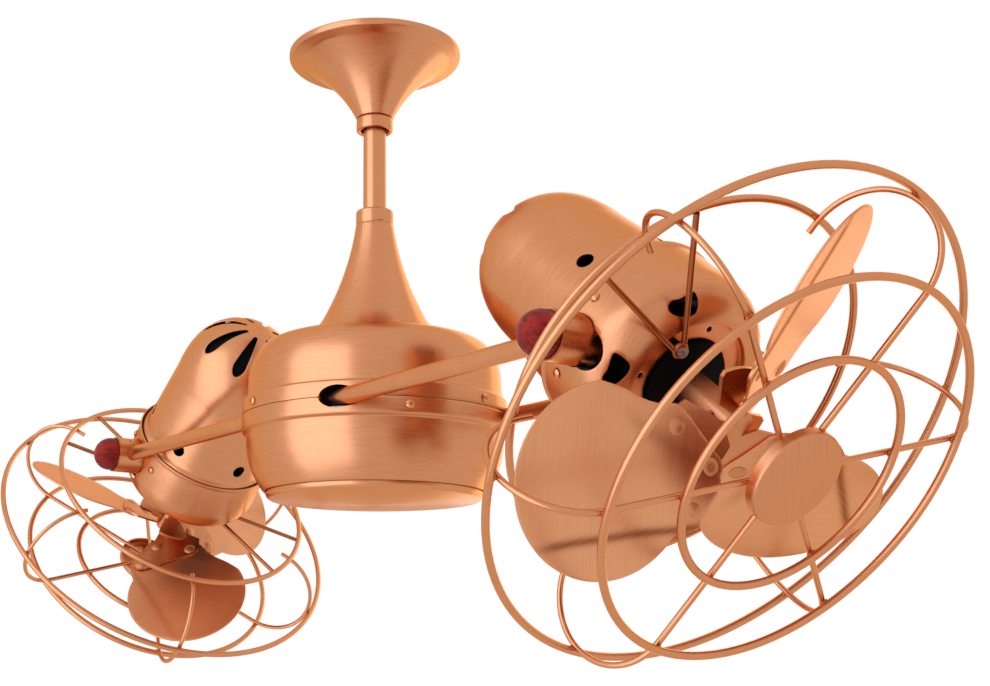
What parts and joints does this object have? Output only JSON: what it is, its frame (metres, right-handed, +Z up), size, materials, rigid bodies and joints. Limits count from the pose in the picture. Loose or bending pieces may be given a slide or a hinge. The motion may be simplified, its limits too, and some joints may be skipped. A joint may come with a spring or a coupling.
{
  "type": "twin head ceiling fan",
  "caption": "Ceiling fan with two caged, tiltable fan heads on a turning cross-arm below a trumpet canopy and downrod, in brushed copper with wooden knobs.",
  "frame": {"origin": "centre of the ceiling plane, where the bracket bears on the ceiling, on the downrod's axis", "axes": "+Z up along the downrod, +X along the two support rods to the right head, +Y along the heads' tilt axes"},
  "size_m": [1.0663, 0.3704, 0.5553],
  "materials": {
    "copper": "steel plated in brushed copper, clear lacquered",
    "copper_aluminium": "aluminium, brushed and toned copper",
    "steel": "zinc plated steel",
    "cast_frame": "as cast",
    "brass": "satin",
    "black_plastic": "matt",
    "black_motor": "satin black paint",
    "wood": "stained red brown, gloss lacquer"
  },
  "bodies": {
    "ceiling_mount": {"ceiling_bracket": "steel", "hanger_ball": "black_plastic", "cross_pins": "steel", "canopy": "copper", "canopy_collar": "copper", "downrod": "copper", "coupling": "steel", "bell_cover": "copper", "spindle": "steel", "spindle_nut": "steel", "brush_block": "black_plastic"},
    "rotor": {"housing_upper": "copper", "housing_lower": "copper", "bottom_plate": "copper", "housing_screws": "copper", "hub_frame": "cast_frame", "bearings": "steel", "slip_ring": "brass", "support_rods": "copper", "pivot_bosses": "copper"},
    "right_front_knob": {"knob_right_front": "wood", "screw_right_front": "steel"},
    "right_rear_knob": {"knob_right_rear": "wood", "screw_right_rear": "steel"},
    "left_front_knob": {"knob_left_front": "wood", "screw_left_front": "steel"},
    "left_rear_knob": {"knob_left_rear": "wood", "screw_left_rear": "steel"},
    "right_head": {"right_rear_shell": "copper", "right_front_shell": "copper", "right_motor": "black_motor", "right_yoke": "steel", "right_shell_screws": "copper", "right_guard_rings": "copper", "right_guard_ribs": "copper", "right_struts": "copper", "right_strut_screws": "steel", "right_medallion": "copper"},
    "right_fan": {"right_shaft": "steel", "right_hub": "copper", "right_blade_1": "copper_aluminium", "right_blade_2": "copper_aluminium", "right_blade_3": "copper_aluminium", "right_rivets": "copper_aluminium"},
    "left_head": {"left_rear_shell": "copper", "left_front_shell": "copper", "left_motor": "black_motor", "left_yoke": "steel", "left_shell_screws": "copper", "left_guard_rings": "copper", "left_guard_ribs": "copper", "left_struts": "copper", "left_strut_screws": "steel", "left_medallion": "copper"},
    "left_fan": {"left_shaft": "steel", "left_hub": "copper", "left_blade_1": "copper_aluminium", "left_blade_2": "copper_aluminium", "left_blade_3": "copper_aluminium", "left_rivets": "copper_aluminium"}
  },
  "joints": [
    {"name": "rotor_turn", "type": "hinge", "parent": "ceiling_mount", "child": "rotor", "pos_m": [0, 0, -0.351], "axis": [0, 0, 1], "continuous": true},
    {"name": "right_head_tilt", "type": "hinge", "parent": "rotor", "child": "right_head", "pos_m": [0.3313, 0, -0.351], "axis": [0, 1, 0], "range_deg": [-131.6, 48.4]},
    {"name": "right_front_knob_turn", "type": "hinge", "parent": "rotor", "child": "right_front_knob", "pos_m": [0.3313, 0, -0.351], "axis": [0, -1, 0], "range_deg": [0, 360]},
    {"name": "right_rear_knob_turn", "type": "hinge", "parent": "rotor", "child": "right_rear_knob", "pos_m": [0.3313, 0, -0.351], "axis": [0, 1, 0], "range_deg": [0, 360]},
    {"name": "left_head_tilt", "type": "hinge", "parent": "rotor", "child": "left_head", "pos_m": [-0.3313, 0, -0.351], "axis": [0, -1, 0], "range_deg": [-133.1, 46.9]},
    {"name": "left_front_knob_turn", "type": "hinge", "parent": "rotor", "child": "left_front_knob", "pos_m": [-0.3313, 0, -0.351], "axis": [0, -1, 0], "range_deg": [0, 360]},
    {"name": "left_rear_knob_turn", "type": "hinge", "parent": "rotor", "child": "left_rear_knob", "pos_m": [-0.3313, 0, -0.351], "axis": [0, 1, 0], "range_deg": [0, 360]},
    {"name": "right_fan_spin", "type": "hinge", "parent": "right_head", "child": "right_fan", "pos_m": [0.3313, 0, -0.351], "axis": [0.7478, 0, -0.6639], "continuous": true},
    {"name": "left_fan_spin", "type": "hinge", "parent": "left_head", "child": "left_fan", "pos_m": [-0.3313, 0, -0.351], "axis": [-0.7302, 0, -0.6833], "continuous": true}
  ]
}
